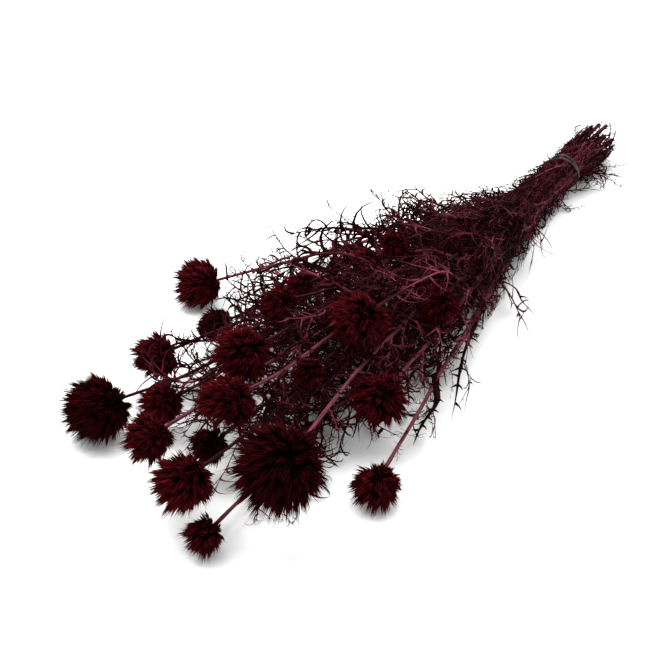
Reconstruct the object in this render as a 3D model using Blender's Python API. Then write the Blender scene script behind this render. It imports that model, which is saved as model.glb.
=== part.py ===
"""A tied bunch of dried, dyed globe thistles, lying on a table.

Run it with blender --background --python part.py.

The bunch lies along X: the cut stem ends are at -X and the flower heads at +X. Z is up, and the bunch rests
on z = 0. The driving dimensions are millimetres, because a stem is a few millimetres thick; metres() scales
them when an object is made. Each stem is a tapered curve, each flower head a ball of spikes, each large leaf
a thin rib with pointed lobes, and the rubber band a ring around the stems.
"""

import math
from collections import namedtuple

import bmesh
import bpy
import numpy as np
from mathutils import Matrix, Vector
from mathutils.bvhtree import BVHTree

# ---- driving dimensions, in millimetres ----
TIE_X = -250.0  # where the rubber band holds the stems
CUT_X = -338.0  # where the stems are cut
BUNDLE_Z = 24.0  # height of the bundle's middle at the band
CUT_Z = 20.5  # and at the cut ends
STEM_R_CUT = 2.3  # a stem's radius at its cut end
STEM_R_NECK = 1.45  # and just under its flower head
STEM_POINTS = 15
TIE_POINT, PARTING_POINT = 3, 5  # a stem's point at the band, and the one where it leaves its neighbours
TOGETHER = (50.0, 85.0)  # how far past the band the points after TIE_POINT are
EARLY_DRIFT = 0.2  # how much of its turn towards its head a stem has made by then
SLOT_RINGS = ((1, 0.0), (6, 5.3), (14, 11.4))  # each ring of stems inside the band: how many, and its radius
FLARE = 1.4  # how much wider the bundle is at the cut ends than at the band
BAND_R = 15.6  # rubber band: radius of the loop, and of the rubber
BAND_THICK_R = 1.3
BAND_STEPS = (28, 6)
CORE_SHARE = 0.68  # a flower head's core, as a share of its radius over the tips
SHORTEST_TIP = 0.86  # the shortest spike, as the same share
BARE_FOOT = 0.80  # no spikes where the direction is this close to the stem's
GAP = 0.4  # air between neighbouring solids
LEAF_STEPS = 8  # pairs of lobes along a leaf
LEAF_RIB = (3.0, 1.2)  # width and thickness of a leaf's rib at its base
LOBE_SHARE = 0.24  # the longest lobe, as a share of the leaf's length

Head = namedtuple("Head", "x y z size slot")
# Each flower head's centre and its diameter over the tips. The slot is the stem's place inside the band: 0 is
# the middle, 1 to 6 the inner ring and 7 to 20 the outer ring, counted from +Y towards +Z.
HEADS = (
    Head(92, -163, 22, 41, 14),
    Head(140, -109, 29, 31, 15),
    Head(206, -113, 37, 35, 4),
    Head(266, -117, 26, 50, 16),
    Head(241, -80, 30, 33, 17),
    Head(303, -37, 60, 34, 5),
    Head(226, -20, 85, 41, 2),
    Head(267, -1, 80, 40, 3),
    Head(262, -23, 32, 29, 6),
    Head(313, -3, 46, 41, 18),
    Head(318, 15, 16, 28, 19),
    Head(292, 55, 69, 59, 1),
    Head(224, 81, 18, 34, 20),
    Head(174, 53, 45, 41, 7),
    Head(151, 22, 85, 40, 8),
    Head(144, -48, 70, 31, 12),
    Head(63, 37, 55, 33, 9),
    Head(33, -19, 75, 24, 10),
    Head(45, -36, 60, 25, 11),
    Head(92, -65, 53, 24, 13),
    Head(185, 5, 55, 22, 0),
)

Leaf = namedtuple("Leaf", "stem share length turn")
# The large leaves: each one's stem, its place along that stem from the cut end (0) to the neck (1), its
# length, and its turn about the stem, in degrees, from straight away from the middle of the bunch.
LEAVES = (
    Leaf(13, 0.56, 84, 20),
    Leaf(13, 0.74, 66, -20),
    Leaf(13, 0.42, 62, 60),
    Leaf(13, 0.86, 52, 40),
    Leaf(1, 0.66, 66, 0),
    Leaf(1, 0.84, 78, 40),
    Leaf(1, 0.50, 84, -30),
    Leaf(2, 0.78, 78, 0),
    Leaf(14, 0.74, 78, 20),
    Leaf(12, 0.72, 80, 40),
    Leaf(15, 0.52, 84, 0),
    Leaf(7, 0.60, 90, 0),
    Leaf(17, 0.50, 84, 0),
    Leaf(19, 0.05, 46, 0),
    Leaf(4, 0.76, 84, 0),
    Leaf(10, 0.80, 78, 0),
    Leaf(16, 0.62, 84, 0),
)

DYE = {
    "petal": (0.16, 0.006, 0.016, 1.0),
    "stem": (0.20, 0.035, 0.05, 1.0),
    "leaf": (0.10, 0.02, 0.028, 1.0),
    "band": (0.16, 0.18, 0.16, 1.0),
}


def metres(point):
    return Vector(point) / 1000.0


def material(name, colour, roughness):
    made = bpy.data.materials.new(name)
    made.use_nodes = True
    shader = made.node_tree.nodes["Principled BSDF"]
    shader.inputs["Base Color"].default_value = colour
    shader.inputs["Roughness"].default_value = roughness
    shader.inputs["Metallic"].default_value = 0.0
    made.diffuse_color = colour
    return made


def clear_scene():
    for old in list(bpy.data.objects):
        bpy.data.objects.remove(old, do_unlink=True)


def bunch_collection():
    made = bpy.data.collections.new("dried_thistle_bunch")
    bpy.context.scene.collection.children.link(made)
    return made


# ---- where the stems run ----


def slot_offset(slot):
    """A stem's place inside the band, across the bundle: (y, z) from the bundle's middle."""
    for count, radius in SLOT_RINGS:
        if slot < count:
            angle = 2 * math.pi * slot / count
            return radius * math.cos(angle), radius * math.sin(angle)
        slot -= count
    raise ValueError("there are more stems than slots")


def stem_radii():
    """A stem's radius at each of its points, from the cut end to the neck."""
    return np.linspace(STEM_R_CUT, STEM_R_NECK, STEM_POINTS)


def first_route(head):
    """The stem's route before it makes room for others: straight on past the band, then a slow curve."""
    y, z = slot_offset(head.slot)
    cut = np.array([CUT_X + 0.6 * abs(y) - 0.5 * z, FLARE * y, CUT_Z + FLARE * z])
    tie = np.array([TIE_X, y, BUNDLE_Z + z])
    centre = np.array([head.x, head.y, head.z], float)
    beside, parting = (tie + np.array([far, 0, 0]) for far in TOGETHER)
    drift = EARLY_DRIFT * (parting[0] - beside[0]) / (centre[0] - beside[0])
    parting[1:] += drift * (centre - beside)[1:]
    span = centre[0] - parting[0]
    leave = parting + 0.3 * (centre - parting)
    arrive = centre - np.array([0.30 * span, 0.36 * (centre[1] - y), 0.25 * (centre[2] - BUNDLE_Z) - 6.0])
    heading = centre - arrive
    neck = centre - heading / np.linalg.norm(heading) * (0.5 * head.size * CORE_SHARE + GAP)
    t = np.linspace(0, 1, STEM_POINTS - PARTING_POINT)[:, None]
    curve = (1 - t) ** 3 * parting + 3 * (1 - t) ** 2 * t * leave + 3 * (1 - t) * t**2 * arrive + t**3 * neck
    u = np.linspace(0, 1, TIE_POINT, endpoint=False)[:, None]
    return np.vstack([cut + (tie - cut) * u, tie, beside, curve])


def nearest_on(points, starts, ends):
    """For each point and each piece of a line: the vector from the piece's nearest place, and its share."""
    along = ends - starts
    share = np.einsum("pik,ik->pi", points[:, None] - starts, along) / np.einsum("ik,ik->i", along, along)
    share = np.clip(share, 0, 1)
    return points[:, None] - (starts + share[..., None] * along), share


def make_room(routes, heads):
    """Pushes the stems apart, and off the flower heads of others and the table, until none touch."""
    radii = stem_radii()
    fixed = np.zeros(STEM_POINTS, bool)
    fixed[[0, TIE_POINT, STEM_POINTS - 1]] = True
    bent = fixed.copy()
    bent[TIE_POINT : PARTING_POINT + 1] = True
    centres = np.array([[h.x, h.y, h.z] for h in heads], float)
    reach = np.array([0.5 * h.size for h in heads])
    for _ in range(160):
        pushes = np.zeros_like(routes)
        for i in range(len(routes)):
            for j in range(len(routes)):
                if i == j:
                    continue
                away, share = nearest_on(routes[i], routes[j][:-1], routes[j][1:])
                apart = np.linalg.norm(away, axis=2)
                near = apart.argmin(axis=1)
                rows = np.arange(STEM_POINTS)
                distance = apart[rows, near]
                other = radii[near]
                short = radii + other + 1.6 * GAP + 0.5 - distance
                push = np.where(short > 0, short, 0)[:, None] * away[rows, near] / (distance[:, None] + 1e-6)
                pushes[i] += 0.5 * push
                for row in np.nonzero(short > 0)[0]:
                    s = share[row, near[row]]
                    pushes[j][near[row]] -= 0.5 * (1 - s) * push[row]
                    pushes[j][near[row] + 1] -= 0.5 * s * push[row]
            for k in range(len(heads)):
                if k == i:
                    continue
                starts, ends = routes[i][:-1], routes[i][1:]
                along = ends - starts
                share = np.clip(((centres[k] - starts) * along).sum(1) / (along * along).sum(1), 0, 1)
                away = starts + share[:, None] * along - centres[k]
                distance = np.linalg.norm(away, axis=1)
                short = reach[k] + radii[1:] + 2 * GAP + 1.0 - distance
                for piece in np.nonzero(short > 0)[0]:
                    push = short[piece] * away[piece] / distance[piece]
                    pushes[i][piece] += (1 - share[piece]) * push
                    pushes[i][piece + 1] += share[piece] * push
        pushes[:, fixed] = 0
        routes = routes + pushes
        smooth = 0.5 * (routes[:, :-2] + routes[:, 2:]) - routes[:, 1:-1]
        smooth[:, bent[1:-1]] = 0
        routes[:, 1:-1] += 0.12 * smooth
        routes[:, 1:-1, 2] = np.maximum(routes[:, 1:-1, 2], radii[1:-1] + 0.6)
    return routes


def stem(name, route, look, home):
    curve = bpy.data.curves.new(name, "CURVE")
    curve.dimensions = "3D"
    curve.bevel_depth = 0.001
    curve.bevel_resolution = 1
    curve.use_fill_caps = True
    spline = curve.splines.new("POLY")
    spline.points.add(len(route) - 1)
    for point, place, radius in zip(spline.points, route, stem_radii()):
        point.co = (*metres(place), 1.0)
        point.radius = radius
    curve.materials.append(look)
    made = bpy.data.objects.new(name, curve)
    home.objects.link(made)
    return made


# ---- flower heads ----


def flower_head(name, head, route, look, home, rng):
    """A ball of spikes: a sphere whose faces are drawn out to points, but not those round the stem's foot."""
    centre = np.array([head.x, head.y, head.z], float)
    foot = Vector(route[-1] - centre).normalized()
    radius = 0.5 * head.size / 1000.0
    ball = bmesh.new()
    bmesh.ops.create_icosphere(ball, subdivisions=2, radius=radius * CORE_SHARE)
    turn = Vector((0, 0, 1)).rotation_difference(foot).to_matrix()
    bmesh.ops.rotate(ball, verts=ball.verts, cent=(0, 0, 0), matrix=turn)
    spiked = [f for f in ball.faces if f.calc_center_median().normalized().dot(foot) < BARE_FOOT]
    poked = bmesh.ops.poke(ball, faces=spiked)
    for tip in poked["verts"]:
        tip.co = tip.co.normalized() * radius * rng.uniform(SHORTEST_TIP, 1.0)
    mesh = bpy.data.meshes.new(name)
    ball.to_mesh(mesh)
    ball.free()
    mesh.materials.append(look)
    made = bpy.data.objects.new(name, mesh)
    made.location = metres(centre)
    home.objects.link(made)
    return made


# ---- leaves ----


def leaf_mesh(length, droop, rng):
    """A leaf along +X, flat side up, as a bmesh: a thin tapering rib with pointed lobes on both sides."""
    width, thick = LEAF_RIB
    bm = bmesh.new()
    bmesh.ops.create_cube(bm, size=1.0)
    bmesh.ops.translate(bm, verts=bm.verts, vec=(0.5, 0, 0))
    lengthwise = [e for e in bm.edges if abs(e.verts[0].co.x - e.verts[1].co.x) > 0.5]
    bmesh.ops.subdivide_edges(bm, edges=lengthwise, cuts=2 * LEAF_STEPS - 1)
    step = 0.5 / LEAF_STEPS
    sides = [f for f in bm.faces if abs(f.normal.y) > 0.9 and int(f.calc_center_median().x / step) % 2]
    for lobe in bmesh.ops.extrude_discrete_faces(bm, faces=sides)["faces"]:
        place = lobe.calc_center_median()
        reach = LOBE_SHARE * length * math.sin(math.pi * (0.18 + 0.70 * place.x)) * rng.uniform(0.7, 1.0)
        curl = rng.uniform(-0.2, 0.3) * reach
        out = Vector((0.6 * reach / length, math.copysign(reach / width, place.y), curl))
        bmesh.ops.pointmerge(bm, verts=lobe.verts, merge_co=place + out)
    for v in bm.verts:
        slim = 1.0 - 0.7 * min(v.co.x, 1.0)
        in_rib = abs(v.co.y) < 0.51
        v.co = Vector((v.co.x * length, v.co.y * width * (slim if in_rib else 1.0), v.co.z * thick * slim))
    bend_down(bm, length, droop)
    bmesh.ops.recalc_face_normals(bm, faces=bm.faces)
    return bm


def bend_down(bm, length, droop):
    """Bends a leaf lying along +X downwards into an arc that turns by droop radians along its length."""
    arc = length / droop
    for v in bm.verts:
        angle = v.co.x / arc
        v.co = Vector(((arc + v.co.z) * math.sin(angle), v.co.y, (arc + v.co.z) * math.cos(angle) - arc))


def surface(obj):
    """The object's evaluated surface in world space: its points and its faces."""
    evaluated = obj.evaluated_get(bpy.context.evaluated_depsgraph_get())
    mesh = evaluated.to_mesh()
    points = [obj.matrix_world @ v.co for v in mesh.vertices]
    faces = [tuple(p.vertices) for p in mesh.polygons]
    evaluated.to_mesh_clear()
    return points, faces


def leaf_clear(bm, surfaces):
    """True if the leaf stays above the table and, swollen by the gap, meets none of the other pieces."""
    if min(v.co.z for v in bm.verts) < 0.0006:
        return False
    swollen = bm.copy()
    for v in swollen.verts:
        v.co += v.normal * GAP / 1000.0
    tree = BVHTree.FromBMesh(swollen)
    swollen.free()
    return not any(tree.overlap(other) for other in surfaces)


def leaf_frame(route, share, turn):
    """Where a leaf starts beside its stem: its foot, and the matrix that turns +X to the leaf's heading."""
    place = share * (STEM_POINTS - 1)
    at = min(int(place), STEM_POINTS - 2)
    base = Vector(route[at] + (route[at + 1] - route[at]) * (place - at))
    along = Vector(route[at + 1] - route[at]).normalized()
    reached = (base.x - TIE_X) / 450.0
    outward = base - Vector((base.x, -20.0 * reached, BUNDLE_Z + 24.0 * reached))
    outward = (outward - outward.dot(along) * along).normalized()
    side = Matrix.Rotation(turn, 3, along) @ outward
    heading = (0.70 * side + 0.71 * along).normalized()
    face = (0.71 * side - 0.70 * along).normalized()
    radius = STEM_R_CUT + (STEM_R_NECK - STEM_R_CUT) * share
    foot = base + side * (radius + 0.45 * LEAF_RIB[1] + 1.4 * GAP)
    return foot, Matrix((heading, face.cross(heading), face)).transposed().to_4x4()


def grow_leaf(name, plan, route, look, home, surfaces, rng):
    """Grows a leaf from its stem, turned further and made shorter until it is clear of every other piece."""
    for attempt in range(80):
        turn = plan.turn + (-1) ** attempt * 8.0 * ((attempt + 1) // 2)
        foot, frame = leaf_frame(route, plan.share, math.radians(turn))
        bm = leaf_mesh(plan.length * (1.0 - 0.006 * attempt), rng.uniform(0.3, 0.9), rng)
        place = Matrix.Scale(0.001, 4) @ Matrix.Translation(foot) @ frame
        bmesh.ops.transform(bm, verts=bm.verts, matrix=place)
        bm.normal_update()
        if leaf_clear(bm, surfaces):
            break
        bm.free()
    else:
        raise RuntimeError(f"{name} finds no room")
    mesh = bpy.data.meshes.new(name)
    bm.to_mesh(mesh)
    bm.free()
    mesh.materials.append(look)
    made = bpy.data.objects.new(name, mesh)
    home.objects.link(made)
    return made


# ---- the rubber band ----


def rubber_band(look, home):
    bpy.ops.mesh.primitive_torus_add(
        major_segments=BAND_STEPS[0],
        minor_segments=BAND_STEPS[1],
        major_radius=BAND_R / 1000.0,
        minor_radius=BAND_THICK_R / 1000.0,
        location=metres((TIE_X, 0, BUNDLE_Z)),
        rotation=(0, math.pi / 2, 0),
    )
    made = bpy.context.object
    made.name = "rubber_band"
    made.data.materials.append(look)
    for other in made.users_collection:
        other.objects.unlink(made)
    home.objects.link(made)
    return made


def stand_on_origin(pieces):
    """Moves everything so that the origin is under the middle of the bunch, on the table."""
    points = np.array([point for obj in pieces for point in surface(obj)[0]])
    low, high = points.min(axis=0), points.max(axis=0)
    for obj in pieces:
        obj.location += Vector((-0.5 * (low[0] + high[0]), -0.5 * (low[1] + high[1]), -low[2]))


def main():
    clear_scene()
    home = bunch_collection()
    rng = np.random.default_rng(7)
    looks = {name: material(name, colour, 0.8) for name, colour in DYE.items()}
    routes = make_room(np.array([first_route(head) for head in HEADS]), HEADS)
    pieces = [rubber_band(looks["band"], home)]
    for number, (head, route) in enumerate(zip(HEADS, routes), 1):
        pieces.append(stem(f"stem_{number:02d}", route, looks["stem"], home))
        pieces.append(flower_head(f"flower_head_{number:02d}", head, route, looks["petal"], home, rng))
    bpy.context.view_layer.update()
    surfaces = [BVHTree.FromPolygons(*surface(obj)) for obj in pieces]
    for number, plan in enumerate(LEAVES, 1):
        route = routes[plan.stem - 1]
        pieces.append(grow_leaf(f"leaf_{number:02d}", plan, route, looks["leaf"], home, surfaces, rng))
        bpy.context.view_layer.update()
        surfaces.append(BVHTree.FromPolygons(*surface(pieces[-1])))
    stand_on_origin(pieces)


main()
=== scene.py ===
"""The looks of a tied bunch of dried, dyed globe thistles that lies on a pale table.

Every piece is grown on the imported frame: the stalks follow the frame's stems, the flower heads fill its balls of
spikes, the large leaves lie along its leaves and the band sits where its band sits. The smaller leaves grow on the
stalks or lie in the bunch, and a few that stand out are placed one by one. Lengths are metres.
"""

import math
from collections import namedtuple

import bmesh
import bpy
import numpy as np
from mathutils import Matrix, Vector


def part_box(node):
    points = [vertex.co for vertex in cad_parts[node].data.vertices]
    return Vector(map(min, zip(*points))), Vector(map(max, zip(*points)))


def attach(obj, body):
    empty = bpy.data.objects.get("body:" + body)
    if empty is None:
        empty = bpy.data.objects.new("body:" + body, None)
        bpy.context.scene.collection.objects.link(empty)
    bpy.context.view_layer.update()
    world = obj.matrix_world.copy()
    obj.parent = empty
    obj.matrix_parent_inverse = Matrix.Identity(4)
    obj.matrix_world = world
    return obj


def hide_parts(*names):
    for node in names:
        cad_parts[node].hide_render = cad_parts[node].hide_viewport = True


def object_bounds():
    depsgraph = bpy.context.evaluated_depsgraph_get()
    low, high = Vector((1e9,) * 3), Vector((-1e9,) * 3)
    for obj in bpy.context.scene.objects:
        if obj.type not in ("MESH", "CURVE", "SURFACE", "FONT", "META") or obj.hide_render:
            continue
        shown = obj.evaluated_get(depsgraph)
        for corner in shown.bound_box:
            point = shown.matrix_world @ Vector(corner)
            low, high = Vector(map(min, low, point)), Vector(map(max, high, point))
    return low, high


MM = 0.001
TURN = 2 * math.pi

CAMERA_AIM = (0.116, 0.014, 0.040)
CAMERA_DISTANCE = 0.929
CAMERA_AZIMUTH, CAMERA_ELEVATION = 122.7, 33.0
CAMERA_LENS, CAMERA_SENSOR = 70.6, 36.0
TABLE_COLOUR = (0.92, 0.92, 0.92, 1.0)
TABLE_HALF = 20.0

HEAD_COUNT = 21  # of the frame's flower heads, and of its stems
LARGE_LEAVES = 17  # of the frame
RING_GAP = 6 * MM  # a stem's rings in the frame are further apart than this along X
FLOOR_GAP = 0.5 * MM
PAST_BOX, PAST_TOP = 5 * MM, 6 * MM  # how far leaves may reach past the frame's box

# Flower heads. Shares are of a head's radius unless they say otherwise.
DARK_HEADS = (2, 4, 9, 12)
TUFT_KINDS = 8
TUFT_SPACING = 5.5 * MM
TUFT_SPREAD = 2.15 * MM  # from a tuft's middle to its outer bracts
TUFT_COLUMNS = 0.88  # of the UV map, for a tuft to start in
BRACTS, BRISTLES = 7, 3
BRACT_REACH, BRISTLE_REACH = (0.78, 1.0), (0.98, 1.14)  # as shares of a tuft's length
FAN_SHIFT = 0.72  # the tufts fan out from a point this share towards the stalk
HEAD_REACH = (0.87, 1.21)  # where the tufts end
TUFT_START = 0.18  # how far from the fan's point a tuft starts, as a share of the way to its end
CORE_SIZE, CORE_SHIFT = 0.55, 0.18  # a plain ball fills the middle, a little towards the stalk
BARE_NECK = 0.90  # no tuft grows where the cosine of the angle to the stalk is above this
COMB_SWING, COMB_WAVES = 0.13, 3.5  # how the tufts are combed to one side in waves
TUFT_JITTER = 0.06
HEAD_FRONT = np.array([0.56, 0.34, 0.50])  # from a head's middle to the space before it

# Stalks. Those in the list below lie in the light and take the lighter, dustier look (dust and painted light); the
# others take the darker look, painted shade.
LIT_DUSTY_STALKS = (1, 6, 8, 11, 12, 13, 14)
LONE_STALK = 13  # it stands apart from the bunch and carries few leaves
LONE_SIZE, LONE_GAP = 0.45, 1.6  # of its leaves and between them, as shares of the others'
STALK_SIDES = 10
RIDGE = 0.84  # how deep the furrows along a stalk are, as a share of its radius
KNOT_SPACING = 26 * MM
LIT_DUSTY_SLIM, SHADED_SLIM = 0.86, 0.82  # a stalk's width, as a share of the frame's stem
INTO_HEAD = 0.55  # how far a stalk goes on into its head, as a share of the way to the middle

# Leaves.
LEAF_KINDS = 12
LEAF_LENGTH = 0.1  # of a leaf before it is scaled
LEAF_COLUMNS = 0.9  # of the UV map, for a leaf to start in
RIB_POINTS = 12
RIB_WIDTH, RIB_HEIGHT = 1.8 * MM, 0.9 * MM
LOBES = 10
LOBE_STEPS = np.array([0.0, 0.22, 0.42, 0.62, 0.82, 1.0])
LOBE_WIDTHS = np.array([1.9, 1.4, 1.15, 0.9, 0.55, 0.0]) * MM
SPINE_WIDTHS = np.array([0.75, 0.42, 0.0]) * MM
LEAF_TURN = 2.4  # from each leaf round a stalk to the next, in radians
FIRST_LEAF, LAST_LEAF = 8 * MM, 0.93  # a length from the cut end, and a share of the stalk
# the share of leaves in the lighter, dusty look: dust and painted light
LIT_DUSTY_SHARE = 0.20
EDGE = 12 * MM  # leaves whose tips come this close to the bunch's sides mostly take the dark look, painted shade
HIDDEN_SHARE = 0.06  # a leaf with more of its points than this before a head hides it
SHEATH_STRIPS = 340
OVER_BAND = 16  # strips that lie over the band
LIT_DUSTY_STRIPS, LIT_DUSTY_END_STRIPS = 0.56, 0.15  # shares of the strips in the lighter, dusty look (dust and painted light), and of those at the cut end
STRAY_LEAVES = 24
LOW_LEAVES = 100
LOW_REACH = (30 * MM, 210 * MM)  # where they start, along X

# The band.
BAND_SECTION = (1.5 * MM, 0.7 * MM)  # half the width and half the thickness
BAND_INSET = 1.2 * MM  # of the first turn's middle from the outside of the frame's band
BAND_PARTING = (-1.2 * MM, 5.0 * MM)  # where each turn goes along X on the side where they part
BAND_GRIP = 3.0 * MM  # from the outside of the frame's band to the leaves that it holds
BAND_FLARE = 0.42  # how fast the room for leaves widens to both sides of the band
BAND_ORDER = Vector((1.0, 0.37, 0.23))  # the band's points and faces are numbered in this direction

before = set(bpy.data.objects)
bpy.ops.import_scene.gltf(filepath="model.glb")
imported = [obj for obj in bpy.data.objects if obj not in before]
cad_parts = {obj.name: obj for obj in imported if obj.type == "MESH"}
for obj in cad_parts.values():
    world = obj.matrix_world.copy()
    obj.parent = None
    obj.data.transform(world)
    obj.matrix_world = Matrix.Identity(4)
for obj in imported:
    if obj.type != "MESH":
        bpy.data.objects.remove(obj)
cad_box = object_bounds()
rng = np.random.default_rng(23)


# ---- lines ----


def unit(v):
    return v / np.linalg.norm(v, axis=-1, keepdims=True)


def smooth_line(points, steps):
    """A smooth line through the points, with this many steps from each to the next."""
    p = np.vstack([2 * points[0] - points[1], points, 2 * points[-1] - points[-2]])
    t = np.linspace(0, 1, steps, endpoint=False)[:, None]
    runs = [
        0.5 * (2 * b + (c - a) * t + (2 * a - 5 * b + 4 * c - d) * t**2 + (3 * b - a - 3 * c + d) * t**3)
        for a, b, c, d in zip(p, p[1:], p[2:], p[3:])
    ]
    return np.vstack([*runs, points[-1:]])


def axes_along(line):
    """At each point of a line: its direction, and the directions to its side and over it."""
    ahead = unit(np.gradient(line, axis=0))
    side = unit(np.cross((0.0, 0.0, 1.0), ahead))
    return ahead, side, np.cross(ahead, side)


def distances_along(line):
    return np.concatenate([[0], np.cumsum(np.linalg.norm(np.diff(line, axis=0), axis=1))])


def at_share(line, share):
    """The point at a share of the line's length, and the line's direction there."""
    run = distances_along(line)
    spot = share * run[-1]
    point = np.array([np.interp(spot, run, line[:, i]) for i in range(3)])
    ahead = unit(np.gradient(line, axis=0))
    return point, unit(np.array([np.interp(spot, run, ahead[:, i]) for i in range(3)]))


def ease(values, limit, soft):
    """Lets values pass up to limit - soft, then slows them so that they never pass the limit."""
    over = values - (limit - soft)
    return np.where(over > 0, limit - soft * np.exp(-np.maximum(over, 0) / soft), values)


def hold_between(values, low, high, soft_low, soft_high):
    """Keeps values between two limits, and slows them softly before each."""
    values = ease(values, high, soft_high)
    return -ease(-values, -low, soft_low)


def frame_points(node):
    return np.array([v.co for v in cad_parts[node].data.vertices], float)


def ball(node):
    """The middle and the radius of a round node of the frame."""
    low, high = (np.array(corner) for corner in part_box(node))
    return (low + high) / 2, (high - low).max() / 2


def centreline(node):
    """The middle and the radius of a stem of the frame at each of its rings, from the cut end to the neck."""
    points = np.unique(frame_points(node).round(5), axis=0)
    points = points[points[:, 0].argsort()]
    rings = np.split(points, np.nonzero(np.diff(points[:, 0]) > RING_GAP)[0] + 1)
    middles = np.array([ring.mean(axis=0) for ring in rings])
    radii = [np.linalg.norm(ring - middle, axis=1).max() for ring, middle in zip(rings, middles)]
    return middles, np.array(radii)


# ---- strands: nearly everything here is built of tapering closed tubes ----


def strand_mesh():
    """An empty bmesh whose points know their turn round a strand and their UV place."""
    bm = bmesh.new()
    for name in ("turn", "u", "v"):
        bm.verts.layers.float.new(name)
    return bm


def strand(bm, line, widths, heights, sides, u=0.0, v=(0.0, 1.0)):
    """A closed tube along a line, with a half width and half height at each point.

    Where the last width is 0 it ends in a sharp tip. u is the strand's own column on the UV map, and v runs from its root to its tip.
    """
    turn, column, row = (bm.verts.layers.float[name] for name in ("turn", "u", "v"))
    _, side, over = axes_along(line)
    share = distances_along(line)
    share = v[0] + (v[1] - v[0]) * share / share[-1]

    def place(verts, i):
        for vert in verts:
            a = vert[turn]
            vert.co = line[i] + side[i] * widths[i] * math.cos(a) + over[i] * heights[i] * math.sin(a)
            vert[column], vert[row] = u, share[i]

    made = bmesh.ops.create_cone(bm, cap_ends=True, segments=sides, radius1=1, radius2=1, depth=2)["verts"]
    for vert in made:
        vert[turn] = math.atan2(-vert.co.y, vert.co.x) % TURN
    low = [vert for vert in made if vert.co.z < 0]
    high = set(made) - set(low)
    end = next(f for vert in high for f in vert.link_faces if all(x in high for x in f.verts))
    place(low, 0)
    place(end.verts, 1)
    for i in range(2, len(line)):
        end = bmesh.ops.extrude_discrete_faces(bm, faces=[end])["faces"][0]
        place(end.verts, i)
    if widths[-1] == 0:
        bmesh.ops.pointmerge(bm, verts=end.verts, merge_co=Vector(line[-1]))


def map_strands(bm, width):
    """Lays each strand out on the UV map: round it across its own column, and along it from root to tip."""
    turn, column, row = (bm.verts.layers.float[name] for name in ("turn", "u", "v"))
    uv = bm.loops.layers.uv.new("OFBake")
    for face in bm.faces:
        turns = [loop.vert[turn] for loop in face.loops]
        wraps = max(turns) - min(turns) > math.pi
        for loop, a in zip(face.loops, turns):
            a += TURN if wraps and a < math.pi else 0.0
            loop[uv].uv = (loop.vert[column] + width * a / TURN, loop.vert[row])


def mesh_of(bm, name, width):
    """Turns a bmesh of strands into a mesh, mapped and facing out."""
    bmesh.ops.recalc_face_normals(bm, faces=bm.faces)
    map_strands(bm, width)
    mesh = bpy.data.meshes.new(name)
    bm.to_mesh(mesh)
    bm.free()
    for layer in ("turn", "u", "v"):
        mesh.attributes.remove(mesh.attributes[layer])
    return mesh


def add_copy(bm, mesh, points=None, matrix=None, shift=0.0, look=0):
    """Adds a copy of a mesh to a bmesh, with its points moved and its UV columns shifted.

    look is the number of the piece's material that the copy takes.
    """
    copy = mesh.copy()
    if points is not None:
        copy.vertices.foreach_set("co", points.astype(np.float32).ravel())
    if matrix is not None:
        copy.transform(matrix)
    if shift:
        layer = copy.uv_layers["OFBake"].uv
        places = np.empty(len(layer) * 2, np.float32)
        layer.foreach_get("vector", places)
        places[0::2] += shift
        layer.foreach_set("vector", places)
    copy.polygons.foreach_set("material_index", [look] * len(copy.polygons))
    bm.from_mesh(copy)
    bpy.data.meshes.remove(copy)


def points_of(mesh):
    found = np.empty(len(mesh.vertices) * 3, np.float32)
    mesh.vertices.foreach_get("co", found)
    return found.reshape(-1, 3).astype(float)


def piece(name, bm, looks, slot, *nodes):
    """Makes a piece of the bunch from a bmesh. It stands for the named nodes of the frame, if any."""
    mesh = bpy.data.meshes.new(name)
    bm.to_mesh(mesh)
    bm.free()
    for look in looks:
        mesh.materials.append(look)
    made = bpy.data.objects.new(name, mesh)
    bpy.context.scene.collection.objects.link(made)
    mesh.shade_smooth()
    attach(made, "root")
    if nodes:
        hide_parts(*nodes)


# ---- shader groups and materials ----


def add(tree, kind, inputs=None, **settings):
    """Adds a node with its settings, and gives its inputs their values or links."""
    made = tree.nodes.new(kind)
    for name, value in settings.items():
        setattr(made, name, value)
    for name, value in (inputs or {}).items():
        if isinstance(value, bpy.types.NodeSocket):
            tree.links.new(value, made.inputs[name])
        else:
            made.inputs[name].default_value = value
    return made


def new_group(name, inputs, outputs):
    """A shader node group with named sockets, given as {name: (kind, default)} and {name: kind}."""
    tree = bpy.data.node_groups.new(name, "ShaderNodeTree")
    for label, (kind, value) in inputs.items():
        made = tree.interface.new_socket(name=label, in_out="INPUT", socket_type="NodeSocket" + kind)
        if value is not None:
            made.default_value = value
    for label, kind in outputs.items():
        tree.interface.new_socket(name=label, in_out="OUTPUT", socket_type="NodeSocket" + kind)
    return tree, tree.nodes.new("NodeGroupInput").outputs, tree.nodes.new("NodeGroupOutput")


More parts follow.
